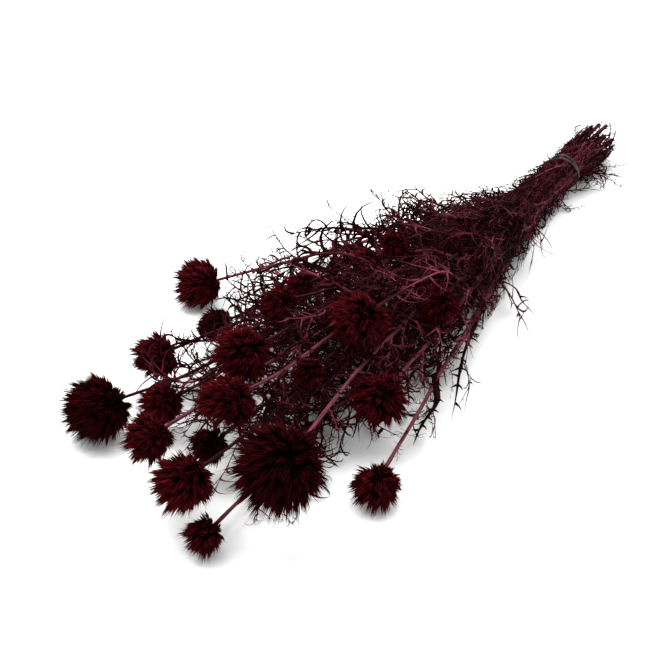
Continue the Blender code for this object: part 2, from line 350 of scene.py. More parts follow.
def streak_group():
    """Lengthwise streaks: noise that is stretched along a strand."""
    tree, given, out = new_group(
        "lengthwise_streaks",
        {"Place": ("Vector", None), "Across": ("Float", 60.0), "Along": ("Float", 3.0), "Sharpness": ("Float", 0.5)},
        {"Mask": "Float", "Height": "Float"},
    )
    scale = add(tree, "ShaderNodeCombineXYZ", {"X": given["Across"], "Y": given["Along"], "Z": 1.0})
    place = add(tree, "ShaderNodeVectorMath", {0: given["Place"], 1: scale.outputs[0]}, operation="MULTIPLY")
    noise = add(tree, "ShaderNodeTexNoise", {"Vector": place.outputs[0], "Scale": 1.0, "Detail": 3.0})
    half = add(tree, "ShaderNodeMath", {0: given["Sharpness"], 1: 0.5}, operation="MULTIPLY")
    low = add(tree, "ShaderNodeMath", {0: 0.30, 1: half.outputs[0]}, operation="ADD")
    high = add(tree, "ShaderNodeMath", {0: 0.78, 1: half.outputs[0]}, operation="SUBTRACT")
    mask = add(
        tree,
        "ShaderNodeMapRange",
        {"Value": noise.outputs["Fac"], "From Min": low.outputs[0], "From Max": high.outputs[0]},
    )
    tree.links.new(mask.outputs[0], out.inputs["Mask"])
    tree.links.new(noise.outputs["Fac"], out.inputs["Height"])
    return tree


def tint_group():
    """Uneven dye: each strand's column on the map takes the dye more or less, and dust greys it in patches."""
    tree, given, out = new_group(
        "uneven_dye",
        {
            "Colour": ("Color", (0.5, 0.5, 0.5, 1.0)),
            "Place": ("Vector", None),
            "Depth": ("Float", 0.5),
            "Dust": ("Float", 0.2),
            "Dust Colour": ("Color", (0.3, 0.2, 0.2, 1.0)),
        },
        {"Colour": "Color"},
    )
    parts = add(tree, "ShaderNodeSeparateXYZ", {0: given["Place"]})
    column = add(tree, "ShaderNodeMath", {0: parts.outputs["X"], 1: 37.0}, operation="MULTIPLY")
    column = add(
        tree, "ShaderNodeTexNoise", {"W": column.outputs[0], "Scale": 1.0, "Detail": 1.0}, noise_dimensions="1D"
    )
    swing = add(
        tree,
        "ShaderNodeMapRange",
        {"Value": column.outputs["Fac"], "From Min": 0.25, "From Max": 0.75, "To Min": -1.0, "To Max": 1.0},
    )
    swing = add(tree, "ShaderNodeMath", {0: swing.outputs[0], 1: given["Depth"]}, operation="MULTIPLY")
    factor = add(tree, "ShaderNodeMath", {0: 2.0, 1: swing.outputs[0]}, operation="POWER")
    dyed = add(tree, "ShaderNodeVectorMath", {0: given["Colour"], "Scale": factor.outputs[0]}, operation="SCALE")
    patch = add(tree, "ShaderNodeVectorMath", {0: given["Place"], 1: (23.0, 5.0, 1.0)}, operation="MULTIPLY")
    patch = add(tree, "ShaderNodeTexNoise", {"Vector": patch.outputs[0], "Scale": 1.0, "Detail": 2.0})
    dusty = add(
        tree, "ShaderNodeMapRange", {"Value": patch.outputs["Fac"], "From Min": 0.42, "From Max": 0.72}
    )
    dusty = add(tree, "ShaderNodeMath", {0: dusty.outputs[0], 1: given["Dust"]}, operation="MULTIPLY")
    mixed = add(
        tree,
        "ShaderNodeMix",
        {"Factor": dusty.outputs[0], "A": dyed.outputs[0], "B": given["Dust Colour"]},
        data_type="RGBA",
    )
    tree.links.new(mixed.outputs["Result"], out.inputs["Colour"])
    return tree


STREAKS = streak_group()
UNEVEN_DYE = tint_group()


def ramp(tree, value, stops):
    """A colour ramp with these (place, colour) stops."""
    made = add(tree, "ShaderNodeValToRGB", {"Fac": value})
    points = made.color_ramp.elements
    while len(points) < len(stops):
        points.new(0.5)
    for point, (place, colour) in zip(points, stops):
        point.position = place
        point.color = (*colour, 1.0)
    return made.outputs["Color"]


def dyed_look(name, stops, streak, dye, rough, specular, bump=0.0):
    """A dry dyed plant surface: colours from root to tip, streaks along it, uneven dye and dust."""
    made = bpy.data.materials.new(name)
    made.use_nodes = True
    tree = made.node_tree
    shader = tree.nodes["Principled BSDF"]
    place = add(tree, "ShaderNodeTexCoord").outputs["UV"]
    row = add(tree, "ShaderNodeSeparateXYZ", {0: place}).outputs["Y"]
    base = ramp(tree, row, stops)
    streaks = add(tree, "ShaderNodeGroup", {}, node_tree=STREAKS)
    tree.links.new(place, streaks.inputs["Place"])
    for label, value in streak.items():
        if label in streaks.inputs:
            streaks.inputs[label].default_value = value
    strength = add(
        tree,
        "ShaderNodeMapRange",
        {"Value": streaks.outputs["Mask"], "To Min": streak["Dark"], "To Max": streak["Light"]},
    )
    lined = add(tree, "ShaderNodeVectorMath", {0: base, "Scale": strength.outputs[0]}, operation="SCALE")
    tint = add(tree, "ShaderNodeGroup", {}, node_tree=UNEVEN_DYE)
    tree.links.new(place, tint.inputs["Place"])
    tree.links.new(lined.outputs[0], tint.inputs["Colour"])
    for label, value in dye.items():
        tint.inputs[label].default_value = value
    tree.links.new(tint.outputs["Colour"], shader.inputs["Base Color"])
    roughness = add(
        tree,
        "ShaderNodeMapRange",
        {"Value": streaks.outputs["Mask"], "To Min": rough[1], "To Max": rough[0]},
    )
    tree.links.new(roughness.outputs[0], shader.inputs["Roughness"])
    if bump:
        relief = add(tree, "ShaderNodeBump", {"Height": streaks.outputs["Height"], "Strength": 0.7, "Distance": bump})
        tree.links.new(relief.outputs[0], shader.inputs["Normal"])
    shader.inputs["Specular IOR Level"].default_value = specular
    return made


def floret_look(name, strength):
    """Dyed bracts: crimson over the swelling and dark again at the needle tips. The black at the root, deep inside
    the head, is painted shade.
    """
    stops = [
        (0.0, (0.002, 0.0002, 0.0003)),
        (0.50, (0.014, 0.0008, 0.0012)),
        (0.72, (0.072, 0.0038, 0.0056)),
        (0.88, (0.064, 0.0034, 0.0052)),
        (1.0, (0.010, 0.0007, 0.0011)),
    ]
    return dyed_look(
        name,
        [(place, tuple(strength * part for part in colour)) for place, colour in stops],
        {"Across": 130.0, "Along": 2.0, "Sharpness": 0.4, "Dark": 0.45, "Light": 1.35},
        {"Depth": 0.9, "Dust": 0.10, "Dust Colour": (0.08, 0.020, 0.026, 1.0)},
        rough=(0.62, 0.85),
        specular=0.01,
    )


FLORET = floret_look("crimson_floret", 1.2)
DARK_FLORET = floret_look("dark_floret", 0.5)
STALK_STREAKS = {"Across": 9.0, "Along": 26.0, "Sharpness": 0.5, "Dark": 0.50, "Light": 1.25}
LEAF_STREAKS = {"Across": 90.0, "Along": 5.0, "Sharpness": 0.6, "Dark": 0.35, "Light": 1.9}
# Two copies of one stalk look. The dusty one is lighter and dustier for the stalks that lie in the light: dust and
# painted light. The deep one is darker for the stalks deep in the bunch: painted shade, and it darkens further along
# its upper half under the leaves and heads, painted shade too. Both are darker towards the cut end; their darkening
# where the stalk runs into its head is painted shade.
LIT_DUSTY_STALK = dyed_look(
    "lit_dusty_stalk",
    [
        (0.0, (0.040, 0.010, 0.014)),
        (0.06, (0.080, 0.020, 0.029)),
        (0.25, (0.095, 0.022, 0.033)),
        (0.60, (0.118, 0.025, 0.039)),
        (0.93, (0.105, 0.022, 0.033)),
        (1.0, (0.050, 0.006, 0.011)),
    ],
    STALK_STREAKS,
    {"Depth": 0.4, "Dust": 0.45, "Dust Colour": (0.18, 0.073, 0.090, 1.0)},
    rough=(0.60, 0.85),
    specular=0.04,
    bump=0.25 * MM,
)
SHADED_STALK = dyed_look(
    "shaded_stalk",
    [
        (0.0, (0.024, 0.006, 0.008)),
        (0.06, (0.055, 0.013, 0.019)),
        (0.50, (0.055, 0.012, 0.018)),
        (0.80, (0.030, 0.007, 0.010)),
        (1.0, (0.014, 0.003, 0.004)),
    ],
    STALK_STREAKS,
    {"Depth": 0.5, "Dust": 0.26, "Dust Colour": (0.12, 0.048, 0.058, 1.0)},
    rough=(0.60, 0.85),
    specular=0.04,
    bump=0.25 * MM,
)
# Three copies of one leaf look. The deep one is the plain leaf; the dusty one is lighter and dustier, for lit leaves
# on top of the bunch: dust and painted light; the dark one is painted shade, for leaves at the bunch's sides, low in
# it and near the heads. Each is paler along the rib with dust and darkens to near-black tips, and that darkening is
# painted shade of thin, backlit tips.
DEEP_LEAF = dyed_look(
    "deep_leaf",
    [
        (0.0, (0.046, 0.0062, 0.0100)),
        (0.35, (0.026, 0.0030, 0.0050)),
        (0.65, (0.010, 0.0011, 0.0018)),
        (1.0, (0.0035, 0.0005, 0.0008)),
    ],
    LEAF_STREAKS,
    {"Depth": 1.2, "Dust": 0.26, "Dust Colour": (0.085, 0.024, 0.034, 1.0)},
    rough=(0.62, 0.88),
    specular=0.01,
)
LIT_DUSTY_LEAF = dyed_look(
    "lit_dusty_leaf",
    [
        (0.0, (0.150, 0.028, 0.045)),
        (0.35, (0.105, 0.016, 0.027)),
        (0.70, (0.032, 0.0044, 0.0070)),
        (1.0, (0.006, 0.0011, 0.0016)),
    ],
    {**LEAF_STREAKS, "Dark": 0.5, "Light": 1.4},
    {"Depth": 0.7, "Dust": 0.40, "Dust Colour": (0.19, 0.066, 0.086, 1.0)},
    rough=(0.62, 0.88),
    specular=0.02,
)
SHADED_LEAF = dyed_look(
    "shaded_leaf",
    [
        (0.0, (0.026, 0.0036, 0.0056)),
        (0.35, (0.010, 0.0014, 0.0022)),
        (0.65, (0.0032, 0.0007, 0.0010)),
        (1.0, (0.0016, 0.0006, 0.0007)),
    ],
    LEAF_STREAKS,
    {"Depth": 1.0, "Dust": 0.10, "Dust Colour": (0.050, 0.011, 0.017, 1.0)},
    rough=(0.62, 0.88),
    specular=0.005,
)
LEAF_LOOKS = [DEEP_LEAF, LIT_DUSTY_LEAF, SHADED_LEAF]
DEEP, LIT_DUSTY, SHADED = range(3)  # places in LEAF_LOOKS

Placed = namedtuple("Placed", "thick spread points")
# Pale leaves in the dusty look that stand out on top of the bunch: their paleness is partly dust and partly painted
# light. Each lies along the line through its points.
PLACED = (
    Placed(
        thick=0.7,
        spread=1.0,
        points=((0.030, 0.078, 0.056), (0.060, 0.078, 0.079), (0.095, 0.074, 0.082), (0.125, 0.067, 0.080)),
    ),
    Placed(
        thick=0.6,
        spread=0.9,
        points=((0.096, 0.080, 0.076), (0.095, 0.060, 0.082), (0.094, 0.046, 0.084), (0.090, 0.028, 0.082)),
    ),
    Placed(
        thick=0.7,
        spread=0.8,
        points=((-0.092, 0.064, 0.050), (-0.098, 0.051, 0.054), (-0.084, 0.043, 0.056), (-0.060, 0.034, 0.056)),
    ),
    Placed(
        thick=0.6,
        spread=0.8,
        points=((-0.040, 0.080, 0.058), (-0.024, 0.067, 0.064), (-0.010, 0.075, 0.070), (0.002, 0.084, 0.070)),
    ),
)

Prickly = namedtuple("Prickly", "look half_width spikes points")
# Narrow leaves with short spikes, along the lone stalk and beside it. Most take the dark look, painted shade; one
# takes the dusty look.
PRICKLY = (
    Prickly(
        look=SHADED,
        half_width=3.2 * MM,
        spikes=13,
        points=((0.098, 0.100, 0.018), (0.125, 0.111, 0.020), (0.148, 0.119, 0.019), (0.178, 0.122, 0.016)),
    ),
    Prickly(
        look=SHADED,
        half_width=2.3 * MM,
        spikes=20,
        points=((-0.015, 0.081, 0.018), (0.030, 0.092, 0.021), (0.085, 0.112, 0.020), (0.144, 0.131, 0.018)),
    ),
    Prickly(
        look=SHADED,
        half_width=1.3 * MM,
        spikes=2,
        points=((-0.046, 0.075, 0.018), (-0.034, 0.096, 0.020), (-0.020, 0.113, 0.020), (-0.003, 0.129, 0.018)),
    ),
    Prickly(
        look=LIT_DUSTY,
        half_width=1.8 * MM,
        spikes=22,
        points=((-0.100, 0.066, 0.019), (-0.040, 0.078, 0.021), (0.030, 0.090, 0.021), (0.100, 0.103, 0.019)),
    ),
    Prickly(
        look=SHADED,
        half_width=1.8 * MM,
        spikes=12,
        points=((0.060, 0.090, 0.018), (0.090, 0.085, 0.020), (0.120, 0.088, 0.018), (0.140, 0.096, 0.012)),
    ),
)
SPIKE_WIDTHS, SPIKE_HEIGHTS = np.array([1.8, 0.9, 0.0]) * MM, np.array([0.8, 0.45, 0.0]) * MM


def band_look():
    """Old rubber: dull and greyish, with a faint mottle and a fine grain."""
    made = bpy.data.materials.new("dull_rubber")
    made.use_nodes = True
    tree = made.node_tree
    shader = tree.nodes["Principled BSDF"]
    place = add(tree, "ShaderNodeTexCoord").outputs["Object"]
    fine = add(tree, "ShaderNodeTexNoise", {"Vector": place, "Scale": 900.0, "Detail": 3.0})
    broad = add(tree, "ShaderNodeTexNoise", {"Vector": place, "Scale": 120.0, "Detail": 2.0})
    colour = ramp(tree, broad.outputs["Fac"], [(0.35, (0.020, 0.015, 0.014)), (0.65, (0.046, 0.037, 0.034))])
    tree.links.new(colour, shader.inputs["Base Color"])
    rough = add(tree, "ShaderNodeMapRange", {"Value": fine.outputs["Fac"], "To Min": 0.45, "To Max": 0.75})
    tree.links.new(rough.outputs[0], shader.inputs["Roughness"])
    relief = add(tree, "ShaderNodeBump", {"Height": fine.outputs["Fac"], "Strength": 0.3, "Distance": 0.2 * MM})
    tree.links.new(relief.outputs[0], shader.inputs["Normal"])
    shader.inputs["Specular IOR Level"].default_value = 0.2
    return made


def pith_look():
    """The cut face of a stalk: dry brown pith with a coarse grain."""
    made = bpy.data.materials.new("cut_pith")
    made.use_nodes = True
    tree = made.node_tree
    shader = tree.nodes["Principled BSDF"]
    place = add(tree, "ShaderNodeTexCoord").outputs["Object"]
    grain = add(tree, "ShaderNodeTexNoise", {"Vector": place, "Scale": 1400.0, "Detail": 3.0})
    colour = ramp(tree, grain.outputs["Fac"], [(0.35, (0.030, 0.012, 0.014)), (0.65, (0.100, 0.055, 0.048))])
    tree.links.new(colour, shader.inputs["Base Color"])
    relief = add(tree, "ShaderNodeBump", {"Height": grain.outputs["Fac"], "Strength": 0.5, "Distance": 0.3 * MM})
    tree.links.new(relief.outputs[0], shader.inputs["Normal"])
    shader.inputs["Roughness"].default_value = 0.9
    return made


RUBBER = band_look()
PITH = pith_look()


# ---- flower heads ----


def tuft_mesh(number):
    """One tuft of florets along +X, 1 long: narrow bracts that swell and end in points, and bristles between."""
    bm = strand_mesh()
    for k in range(BRACTS + BRISTLES):
        bristle = k >= BRACTS
        angle = TURN * (k + rng.uniform(-0.3, 0.3)) / (BRISTLES if bristle else BRACTS - 1)
        spread = 0.0 if k == 0 else TUFT_SPREAD * rng.uniform(0.6, 1.1) * (0.6 if bristle else 1.0)
        out = np.array([0.0, math.cos(angle), math.sin(angle)]) * spread
        reach = rng.uniform(*(BRISTLE_REACH if bristle else BRACT_REACH))
        tip = np.array([reach, 0, 0]) + out * rng.uniform(0.35, 1.15)
        foot = np.array([0.0 if k else 0.1, 0, 0]) + 0.15 * out
        swell = np.array([0.62 * reach, 0, 0]) + 0.85 * out
        if bristle:
            line, widths = np.array([swell, tip]), np.array([0.20, 0.0]) * MM
        else:
            line, widths = np.array([foot, swell, tip]), np.array([0.35, rng.uniform(0.75, 1.05), 0.0]) * MM
        row = (0.6 if bristle else 0.0, reach / BRISTLE_REACH[1])
        strand(bm, line, widths, 0.7 * widths, 3, u=0.01 * k, v=row)
    return mesh_of(bm, f"tuft_{number}", 0.03)


def even_directions(count):
    """Directions spread evenly over a ball."""
    k = np.arange(count) + 0.5
    z = 1 - 2 * k / count
    angle = k * math.pi * (3 - math.sqrt(5))
    flat = np.sqrt(1 - z * z)
    return np.stack([flat * np.cos(angle), flat * np.sin(angle), z], axis=1)


def flower_head(number, neck, tufts):
    """A flower head in the frame's place for it: tufts that fan out from near the stalk to its round outline."""
    centre, radius = HEADS[number - 1]
    foot = unit(neck - centre)
    fan = centre + FAN_SHIFT * radius * foot
    bm = bmesh.new()
    bm.loops.layers.uv.new("OFBake")
    # The core takes the florets' near-black root colour: a dark ball that stands for the shade deep in the head,
    # painted shade.
    core = bmesh.ops.create_icosphere(bm, subdivisions=3, radius=CORE_SIZE * radius, calc_uvs=False)["verts"]
    bmesh.ops.translate(bm, verts=core, vec=centre + CORE_SHIFT * radius * foot)
    count = int(4 * math.pi * (radius / TUFT_SPACING) ** 2)
    comb, phase = rng.normal(0, COMB_SWING, 3), rng.uniform(0, TURN, 3)
    for spot in even_directions(count):
        if spot @ foot > BARE_NECK:
            continue
        way = centre + radius * spot * rng.uniform(*HEAD_REACH) - fan
        reach = np.linalg.norm(way)
        combed = comb * np.sin(COMB_WAVES * spot[[1, 2, 0]] + phase)
        way = unit(way / reach + combed + rng.normal(0, TUFT_JITTER, 3))
        start = TUFT_START * reach
        turned = Vector((1, 0, 0)).rotation_difference(Vector(way)).to_matrix().to_4x4()
        spin = Matrix.Rotation(rng.uniform(0, TURN), 4, "X")
        wide = rng.uniform(0.8, 1.2)
        size = Matrix.Diagonal((reach - start, wide, wide, 1.0))
        place = Matrix.Translation(fan + way * start) @ turned @ spin @ size
        add_copy(bm, tufts[rng.integers(len(tufts))], matrix=place, shift=rng.uniform(0.0, TUFT_COLUMNS))
    for vert in bm.verts:
        vert.co.z = -ease(-vert.co.z, -FLOOR_GAP, 3 * MM)
    look = DARK_FLORET if number in DARK_HEADS else FLORET
    piece(f"thistle_head_{number:02d}", bm, [look], "flower_head", f"flower_head_{number:02d}")


# ---- stalks ----


def stalk(number, line, radii):
    """A ridged stalk with low knots where leaves sat, along a stem of the frame and a little into its head."""
    run = distances_along(line)
    _, side, over = axes_along(line)
    wave = rng.uniform(0, TURN, 2)
    line = line + 0.35 * MM * (side * np.sin(run / (17 * MM) + wave[0])[:, None])
    line = line + 0.35 * MM * (over * np.sin(run / (23 * MM) + wave[1])[:, None])
    knots = np.abs((run / KNOT_SPACING + rng.uniform()) % 1.0 - 0.5) < 0.09
    thick = radii * (0.97 + 0.16 * knots)
    bm = strand_mesh()
    strand(bm, line, thick, thick, STALK_SIDES)
    turn = bm.verts.layers.float["turn"]
    for vert in bm.verts:
        if round(vert[turn] / TURN * STALK_SIDES) % 2:
            near = np.linalg.norm(line - np.array(vert.co), axis=1).argmin()
            vert.co = Vector(line[near]) + (vert.co - Vector(line[near])) * RIDGE
    mesh = mesh_of(bm, f"stalk_{number:02d}_tube", 0.9)
    bm = bmesh.new()
    bm.from_mesh(mesh)
    bpy.data.meshes.remove(mesh)
    cut = min(bm.faces, key=lambda f: f.calc_center_median().x)
    cut.material_index = 1
    # stalks in the light take the lighter, dustier look (dust and painted light); the others the darker one, painted
    # shade
    look = LIT_DUSTY_STALK if number in LIT_DUSTY_STALKS else SHADED_STALK
    piece(f"stalk_{number:02d}", bm, [look, PITH], "stem", f"stem_{number:02d}")


# ---- leaves ----


def leaf_template(number, thick=1.0):
    """A leaf along +X, laid flat: a rib with long, curling, needle-pointed lobes. Some lobes have a side spine."""
    bm = strand_mesh()
    rib = np.array([[x, 0, 0] for x in np.linspace(0, LEAF_LENGTH, RIB_POINTS)])
    rib[:, 1] = RIB_WIDTH * np.sin(np.linspace(0, rng.uniform(3, 8), RIB_POINTS))
    taper = thick * np.linspace(1.0, 0.0, RIB_POINTS) ** 0.6
    strand(bm, rib, RIB_WIDTH * taper, RIB_HEIGHT * taper, 4, v=(0.0, 0.55))
    for k in range(LOBES):
        share = 0.06 + 0.90 * (k + rng.uniform(-0.3, 0.3)) / LOBES
        hand = 1 if k % 2 else -1
        root = np.array([np.interp(share * LEAF_LENGTH, rib[:, 0], rib[:, i]) for i in range(3)])
        reach = (11 + 24 * math.sin(math.pi * (0.12 + 0.80 * share))) * MM * rng.uniform(0.55, 1.25)
        lean = rng.uniform(0.3, 1.2)  # radians from the rib
        curve = rng.choice([-1, 1, 1]) * rng.uniform(0.5, 2.7)
        lift, rise = rng.uniform(-0.5, 0.5), rng.uniform(-0.8, 0.8)
        angle = lean + curve * LOBE_STEPS**1.3
        ways = unit(np.stack([np.cos(angle), hand * np.sin(angle), lift + rise * LOBE_STEPS], axis=1))
        hops = (ways[1:] + ways[:-1]) / 2 * np.diff(LOBE_STEPS)[:, None] * reach
        line = root + np.vstack([np.zeros(3), np.cumsum(hops, axis=0)])
        widths = LOBE_WIDTHS * thick * (1 - 0.3 * share) * rng.uniform(0.65, 1.2)
        strand(bm, line, widths, 0.4 * widths, 4, u=0.002 * k, v=(0.25, 1.0))
        for _ in range(rng.integers(0, 2)):
            spot = rng.uniform(0.2, 0.7)
            start = np.array([np.interp(spot, LOBE_STEPS, line[:, i]) for i in range(3)])
            away = np.interp(spot, LOBE_STEPS, angle) + rng.choice([-1, 1]) * rng.uniform(0.5, 1.1)
            long = rng.uniform(3.0, 8.0) * MM
            tip = start + long * np.array([math.cos(away), hand * math.sin(away), rng.uniform(-0.5, 0.5)])
            spur = np.array([start, 0.5 * (start + tip), tip])
            strand(bm, spur, SPINE_WIDTHS, SPINE_WIDTHS, 3, u=0.002 * k, v=(0.55, 1.0))
    return mesh_of(bm, f"leaf_kind_{number}", 0.05)


def pick_look(chance, lit_dusty_below, shaded_above):
    """The place in LEAF_LOOKS that a chance from 0 to 1 picks: the dusty look, dust and painted light, below one
    limit, and the dark look, painted shade, above the other.
    """
    return SHADED if chance > shaded_above else LIT_DUSTY if chance < lit_dusty_below else DEEP


def lay_leaf(bm, template, points, look, tied=True):
    """Adds a leaf, kept inside the bunch's box and at a column of its own on the UV map."""
    add_copy(bm, template, points=keep_in(points, tied), shift=rng.uniform(0, LEAF_COLUMNS), look=look)


def curled(template, size, spine, face, fold, spread=1.0):
    """The points of a leaf template laid along a spine, with its flat side to face and its halves folded up."""
    points = points_of(template) * size
    points[:, 1] *= spread
    run = distances_along(spine)
    ahead = unit(np.gradient(spine, axis=0))
    side = unit(np.cross(face, ahead))
    over = np.cross(ahead, side)
    x = np.clip(points[:, 0] * run[-1] / (LEAF_LENGTH * size), 0, run[-1])
    at, across, up = (
        np.stack([np.interp(x, run, values[:, i]) for i in range(3)], axis=1) for values in (spine, side, over)
    )
    lift = points[:, 2] + fold * np.abs(points[:, 1])
    return at + across * points[:, 1:2] + up * lift[:, None]


class Outline:
    """How far the bunch reaches to each side and up along X, from the stalks in it.

    Past the last stalk's end nothing is known, so the values there are NaN and hold() lets every point pass.
    """

    def __init__(self, lines):
        self.x = np.arange(cad_box[0].x, cad_box[1].x, 5 * MM)
        across, up = ([np.interp(self.x, line[:, 0], line[:, i], right=np.nan) for line in lines] for i in (1, 2))
        self.left, self.right, self.top = np.fmin.reduce(across), np.fmax.reduce(across), np.fmax.reduce(up)
        known = np.count_nonzero(~np.isnan(across), axis=0)
        sums = np.nansum([across, up], axis=1)
        self.middle = np.where(known > 0, sums / np.maximum(known, 1), np.nan)

    def middle_at(self, x):
        """The middle of the bunch at a place along X, or at each of several."""
        across, up = (np.interp(x, self.x, row) for row in self.middle)
        return np.stack([x, across, up], axis=-1)

    def edge(self, values, points):
        return np.interp(points[:, 0], self.x, values)

    def hold(self, points):
        """Draws in the points that stand too far out of the bunch. Past the band there is more room."""
        past = (points[:, 0] - BAND[0]) / MM
        room = np.interp(past, [-90, -15, 0, 30, 90, 150, 300], [6, 4, 1, 4, 5, 10, 16]) * MM
        soft = 0.7 * room
        left, right = self.edge(self.left, points) - room, self.edge(self.right, points) + room
        points[:, 1] = hold_between(points[:, 1], left, right, soft, soft)
        points[:, 2] = ease(points[:, 2], self.edge(self.top, points) + room, soft)
        return points


def hides_a_head(points):
    """True if a leaf's points cross the space in front of a flower head."""
    for centre, radius in HEADS:
        space = centre + HEAD_FRONT * radius
        if (np.linalg.norm(points - space, axis=1) < radius).mean() > HIDDEN_SHARE:
            return True
    return False


def keep_in(points, tied=True):
    """Lays what would sink into the table flat on it, and draws in what would leave the bunch's box or its band."""
    points = points.copy()
    if tied:
        off = points[:, 1:] - BAND[1:]
        reach = np.linalg.norm(off, axis=1)
        room = BAND_INSIDE + BAND_FLARE * np.maximum(np.abs(points[:, 0] - BAND[0]) - BAND_SECTION[0], 0)
        pulled = ease(reach, room, 3 * MM)
        points[:, 1:] = BAND[1:] + off * (pulled / np.maximum(reach, 1e-6))[:, None]
    low, high = (np.array(corner) for corner in cad_box)
    points[:, 0] = hold_between(points[:, 0], low[0] - PAST_BOX, high[0], 6 * MM, 6 * MM)
    points[:, 1] = hold_between(points[:, 1], low[1] - PAST_BOX, high[1] + PAST_BOX, 8 * MM, 8 * MM)
    points[:, 2] = hold_between(points[:, 2], FLOOR_GAP, high[2] + PAST_TOP, 4 * MM, 14 * MM)
    return points


def leaf_spine(base, heading, pull, length, curl):
    """A leaf's curved rib: it starts along heading, is drawn over towards pull and wanders a little."""
    steps = 9
    way, point, line = heading, base, [base]
    wander = rng.normal(0, curl, 3)
    for k in range(steps):
        way = unit(way + pull / steps + wander * (k / steps) / 2 + rng.normal(0, 0.05, 3))
        point = point + way * length / steps
        line.append(point)
    return np.array(line)


def big_leaf(number, kinds):
    """A large leaf along one of the frame's: from its base, through its middle, to its tip."""
    node = f"leaf_{number:02d}"
    points = frame_points(node)
    gaps = [np.linalg.norm(points[:, None] - line[None, ::3], axis=2).min(axis=1) for line in LINES]
    base = points[min(gaps, key=lambda gap: gap.min()).argmin()]
    away = np.linalg.norm(points - base, axis=1)
    tip = points[away.argmax()]
    middle = points[np.abs(away - 0.5 * away.max()) < 0.12 * away.max()].mean(axis=0)
    spine = smooth_line(np.array([base, middle, tip]), 6)
    flat = np.linalg.svd(points - points.mean(axis=0))[2][2]
    template = kinds[number % len(kinds)]
    size = distances_along(spine)[-1] / LEAF_LENGTH
    bm = bmesh.new()
    laid = curled(template, size, spine, flat, rng.uniform(-0.2, 0.2))
    # the large leaves take the deep, dark and dusty looks in turn: the dark one is painted shade, the dusty one dust
    # and painted light
    lay_leaf(bm, template, laid, (LIT_DUSTY, DEEP, SHADED)[number % 3])
    piece(f"large_leaf_{number:02d}", bm, LEAF_LOOKS, "leaf", node)


def foliage(number, line, kinds):
    """The smaller leaves of one stalk, set round it in a spiral. Near the band they lie along the bunch."""
    bm = bmesh.new()
    alone = number == LONE_STALK
    length = distances_along(line)[-1]
    spot, turn = FIRST_LEAF, rng.uniform(0, TURN)
    while spot < LAST_LEAF * length:
        share = spot / length
        sparse = alone and share > 0.2
        base, ahead = at_share(line, share)
        out = base - BUNCH.middle_at(base[0]) + np.array([0, 0, 6 * MM])
        out = unit(out - (out @ ahead) * ahead + 1e-6)
        open_up = np.clip((base[0] - BAND[0] - 10 * MM) / (170 * MM), 0, 1)
        turn += LEAF_TURN
        side = unit((0.55 + math.cos(turn)) * out + math.sin(turn) * np.cross(ahead, out))
        slope = math.radians(6 + 36 * open_up + rng.uniform(-6, 14))
        heading = math.cos(slope) * ahead + math.sin(slope) * side
        size = np.interp(share, [0, 0.3, 0.7, 0.95], [0.5, 0.85, 0.85, 0.45]) * rng.uniform(0.7, 1.15)
        size *= LONE_SIZE if sparse else 1.0
        pull = 0.6 * ahead + np.array([0, 0, -0.2]) + rng.normal(0, 0.5, 3) * (0.3 + open_up)
        spine = leaf_spine(base, heading, pull, LEAF_LENGTH * size, 0.6 + 0.9 * open_up)
        template = kinds[rng.integers(len(kinds))]
        face = unit(np.cross(np.cross(heading, side), heading) + rng.normal(0, 0.4, 3))
        laid = curled(template, size, spine, face, rng.uniform(-0.4, 0.6), 0.5 + 0.5 * open_up)
        laid = (LONE if alone else BUNCH).hold(laid)
        tip = spine[-1:]
        past_sides = max(tip[0, 1] - BUNCH.edge(BUNCH.right, tip), BUNCH.edge(BUNCH.left, tip) - tip[0, 1])
        # leaves near the bunch's sides and near the heads mostly take the dark look: painted shade
        mostly_shaded = past_sides > -EDGE or share > 0.8
        look = pick_look(rng.uniform(), LIT_DUSTY_SHARE, 0.25 if mostly_shaded else 0.9)
        if not hides_a_head(laid):
            lay_leaf(bm, template, laid, look)
        gap = np.interp(share, [0.3, 0.6], [14, 9.5]) * MM * rng.uniform(0.6, 1.4)
        spot += gap * (LONE_GAP if sparse else 1.0)
    piece(f"foliage_{number:02d}", bm, LEAF_LOOKS, "leaf")


